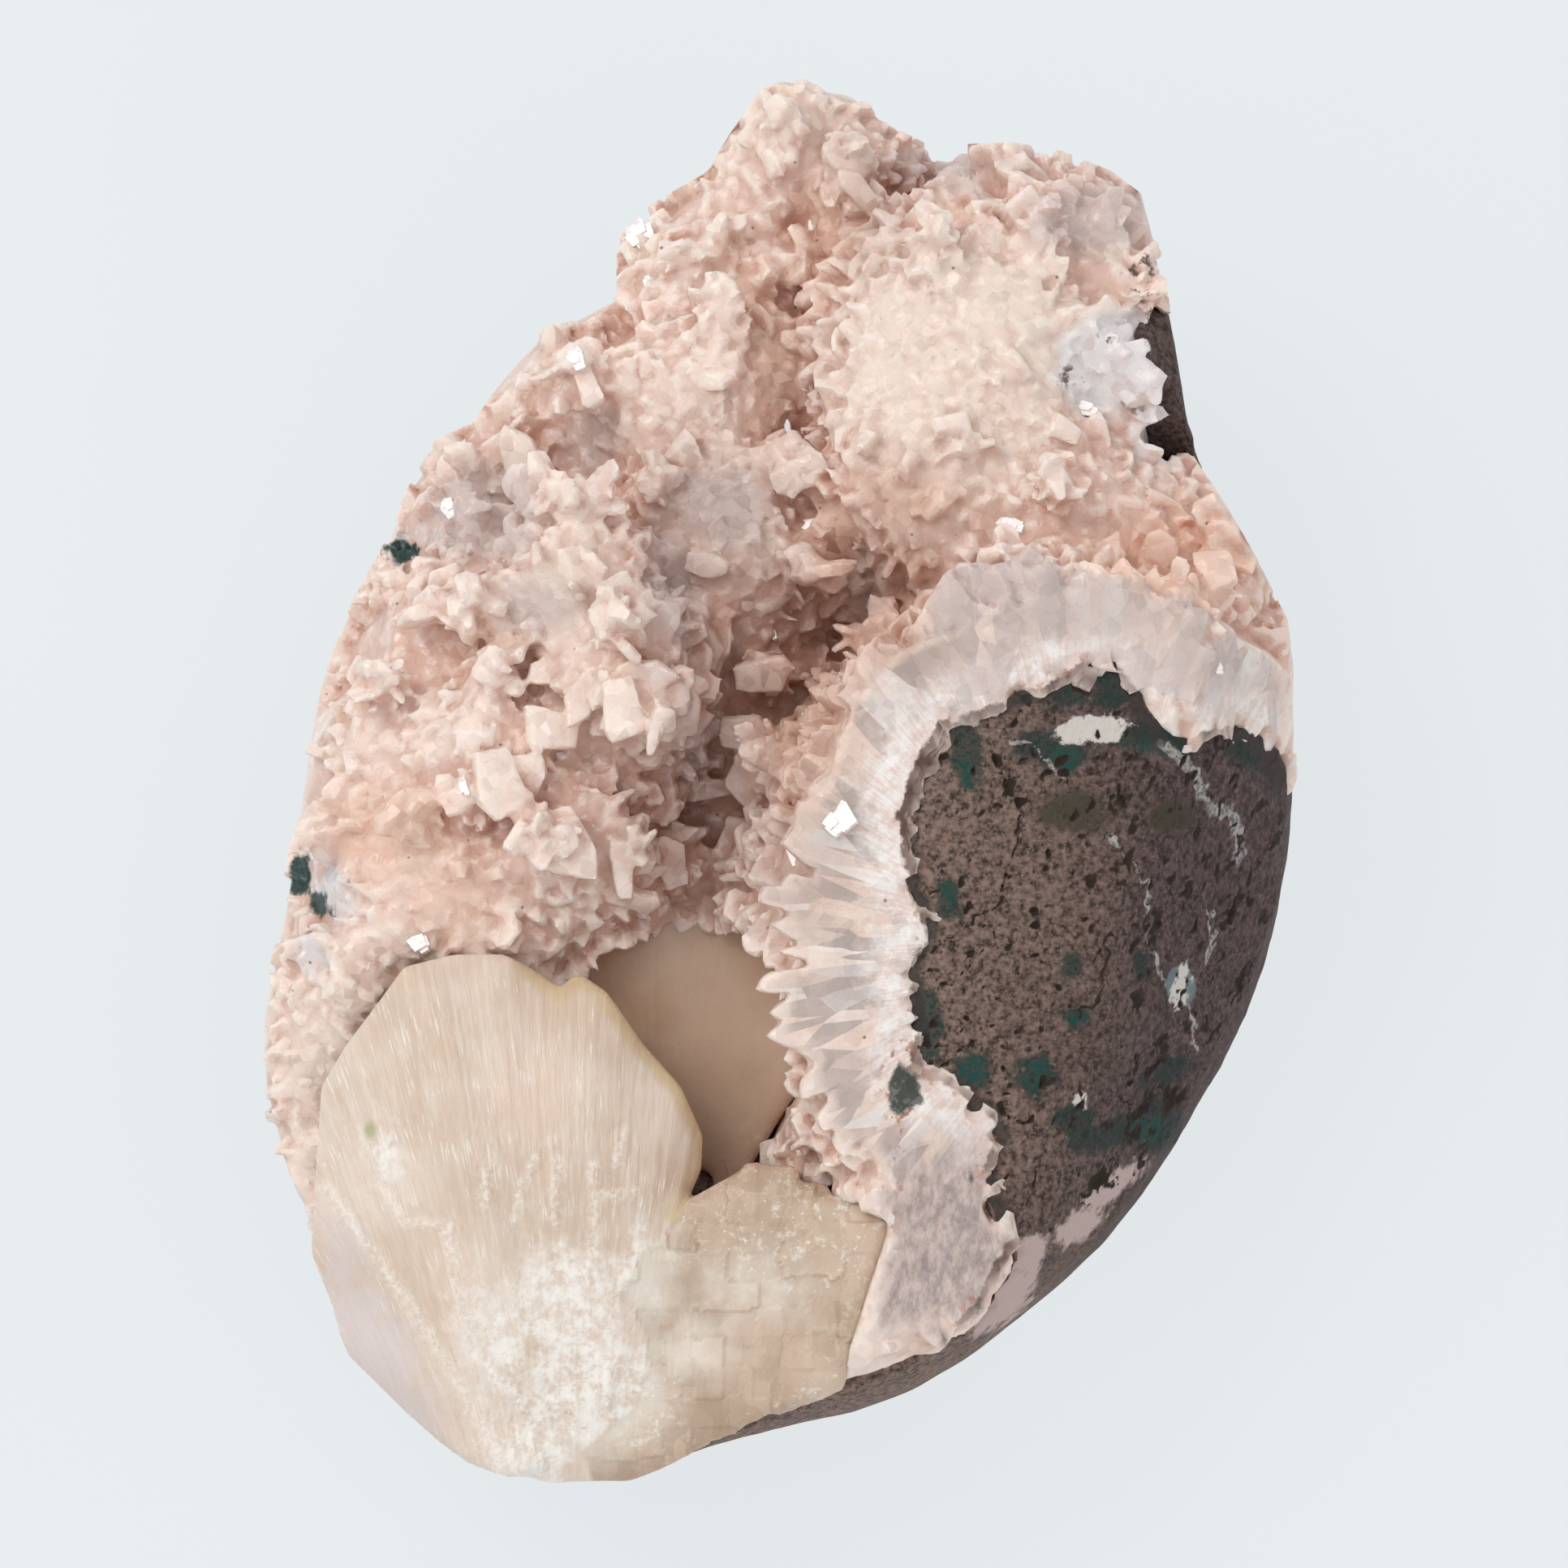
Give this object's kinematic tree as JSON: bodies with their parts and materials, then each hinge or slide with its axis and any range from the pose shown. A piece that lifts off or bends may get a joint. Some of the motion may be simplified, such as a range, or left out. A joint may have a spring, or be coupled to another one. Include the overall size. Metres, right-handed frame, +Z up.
{
  "type": "mineral specimen",
  "caption": "Loose mineral specimen: pink heulandite crystals and a cream stilbite sheaf lining a hollow in dark basalt, ground smooth round its outside.",
  "frame": {"origin": "centre of the flat rest face under the specimen", "axes": "+Z up, out of the crystal-lined hollow; +Y along the specimen's length, away from the stilbite sheaf; +X towards the bare basalt face"},
  "size_m": [0.1272, 0.1804, 0.0802],
  "materials": {
    "basalt": "dark vesicular basalt, ground smooth, with green and white mineral fillings",
    "heulandite": "translucent peach-pink crystals with a glassy to pearly lustre",
    "stilbite": "translucent cream crystals, finely striated, pearly"
  },
  "bodies": {
    "root": {"basalt_matrix": "basalt", "heulandite_crust": "heulandite", "stilbite_sheaf": "stilbite", "stilbite_blade": "stilbite"}
  },
  "joints": []
}
